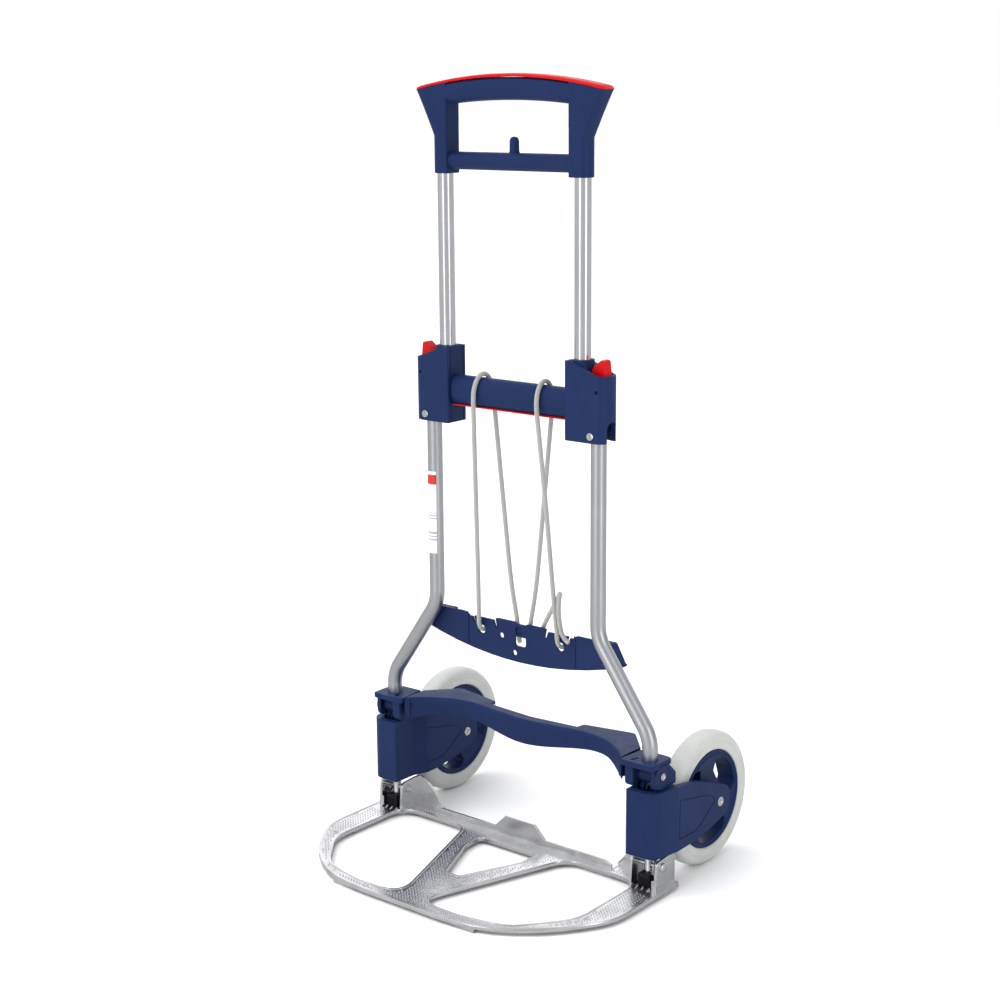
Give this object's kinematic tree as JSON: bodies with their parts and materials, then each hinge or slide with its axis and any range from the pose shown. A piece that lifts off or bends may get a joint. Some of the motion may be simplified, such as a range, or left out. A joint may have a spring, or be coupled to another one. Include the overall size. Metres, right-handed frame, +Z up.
{
  "type": "hand truck",
  "caption": "Folding two-wheeled hand truck: telescoping handle, looped elastic cords, geared fold-in wheels and a hinged cast toe plate with openings.",
  "frame": {"origin": "on the floor under the middle of the truck's overall length and width", "axes": "+Z up, -Y towards the toe plate's front edge, +X to the left of a person who stands in front of the toe plate and faces away from the truck"},
  "size_m": [0.493, 0.4474, 1.0185],
  "materials": {
    "navy_plastic": "fine-grained moulded dark navy plastic",
    "red_plastic": "smooth satin red plastic",
    "tube_aluminium": "satin anodised drawn tube",
    "plate_aluminium": "bright cast, ribbed tread",
    "zinc_steel": "zinc plated, satin",
    "post_steel": "ground and polished rod",
    "black_plastic": "matt black plastic",
    "tyre_grey": "light grey non-marking rubber, matt",
    "cord_grey": "braided grey sleeve",
    "label_white": "printed film with plain blocks"
  },
  "bodies": {
    "frame": {"lower_tube_right": "tube_aluminium", "lower_tube_left": "tube_aluminium", "latch_housing_right": "navy_plastic", "latch_housing_left": "navy_plastic", "housing_rivet_right": "zinc_steel", "housing_rivet_left": "zinc_steel", "lever_pin_right": "zinc_steel", "lever_pin_left": "zinc_steel", "lever_spring_right": "zinc_steel", "lever_spring_left": "zinc_steel", "mid_crossbar": "navy_plastic", "mid_crossbar_strip": "red_plastic", "hook_bar": "navy_plastic", "hook_bar_screw_right": "zinc_steel", "hook_bar_screw_left": "zinc_steel", "knuckle_right": "navy_plastic", "knuckle_left": "navy_plastic", "pivot_fitting_right": "black_plastic", "pivot_fitting_left": "black_plastic", "knuckle_pin_right": "zinc_steel", "knuckle_pin_left": "zinc_steel", "pivot_post_right": "post_steel", "pivot_post_left": "post_steel", "foot_block_right": "black_plastic", "foot_block_left": "black_plastic", "elastic_cord_right": "cord_grey", "elastic_cord_left": "cord_grey", "tie_loop": "cord_grey", "tube_label": "label_white"},
    "handle": {"upper_tube_right": "tube_aluminium", "upper_tube_left": "tube_aluminium", "upper_tube_plug_right": "black_plastic", "upper_tube_plug_left": "black_plastic", "handle_grip": "navy_plastic", "handle_grip_strip": "red_plastic"},
    "lever_right": {"release_lever_right": "red_plastic"},
    "carrier_right": {"wheel_carrier_right": "navy_plastic", "carrier_gear_right": "navy_plastic", "axle_right": "zinc_steel"},
    "wheel_right": {"wheel_bush_right": "black_plastic", "wheel_rim_right": "navy_plastic", "tyre_right": "tyre_grey"},
    "lever_left": {"release_lever_left": "red_plastic"},
    "carrier_left": {"wheel_carrier_left": "navy_plastic", "carrier_gear_left": "navy_plastic", "axle_left": "zinc_steel"},
    "wheel_left": {"wheel_bush_left": "black_plastic", "wheel_rim_left": "navy_plastic", "tyre_left": "tyre_grey"},
    "crossbar": {"lower_crossbar": "navy_plastic"},
    "toe_plate": {"toe_plate": "plate_aluminium", "plate_gear_right": "plate_aluminium", "plate_gear_left": "plate_aluminium", "pivot_bolt_right": "zinc_steel", "pivot_bolt_left": "zinc_steel", "pivot_nut_right": "zinc_steel", "pivot_nut_left": "zinc_steel"}
  },
  "joints": [
    {"name": "handle_slide", "type": "slide", "parent": "frame", "child": "handle", "axis": [0, 0, 1], "range_m": [-0.215, 0]},
    {"name": "crossbar_lift", "type": "hinge", "parent": "frame", "child": "crossbar", "pos_m": [0, 0.01275, 0.159], "axis": [1, 0, 0], "range_deg": [0, 88]},
    {"name": "toe_plate_fold", "type": "hinge", "parent": "frame", "child": "toe_plate", "pos_m": [0, 0.01275, 0.0375], "axis": [-1, 0, 0], "range_deg": [0, 88]},
    {"name": "lever_right_press", "type": "hinge", "parent": "frame", "child": "lever_right", "pos_m": [0.143, 0.01275, 0.638], "axis": [0, -1, 0], "range_deg": [0, 8], "stiffness_Nm_per_rad": 0.3, "springref_deg": -11.46},
    {"name": "carrier_right_fold", "type": "hinge", "parent": "frame", "child": "carrier_right", "pos_m": [0.216, 0.01275, 0.0976], "axis": [0, 0, 1], "range_deg": [0, 88]},
    {"name": "wheel_right_spin", "type": "hinge", "parent": "carrier_right", "child": "wheel_right", "pos_m": [0.216, 0.13375, 0.09], "axis": [1, 0, 0], "continuous": true},
    {"name": "lever_left_press", "type": "hinge", "parent": "frame", "child": "lever_left", "pos_m": [-0.143, 0.01275, 0.638], "axis": [0, 1, 0], "range_deg": [0, 8], "stiffness_Nm_per_rad": 0.3, "springref_deg": -11.46},
    {"name": "carrier_left_fold", "type": "hinge", "parent": "frame", "child": "carrier_left", "pos_m": [-0.216, 0.01275, 0.0976], "axis": [0, 0, -1], "range_deg": [0, 88]},
    {"name": "wheel_left_spin", "type": "hinge", "parent": "carrier_left", "child": "wheel_left", "pos_m": [-0.216, 0.13375, 0.09], "axis": [1, 0, 0], "continuous": true}
  ],
  "couplings": [
    {"joint": "crossbar_lift", "follows": "toe_plate_fold", "ratio": 1},
    {"joint": "carrier_right_fold", "follows": "toe_plate_fold", "ratio": 1},
    {"joint": "carrier_left_fold", "follows": "toe_plate_fold", "ratio": 1}
  ]
}
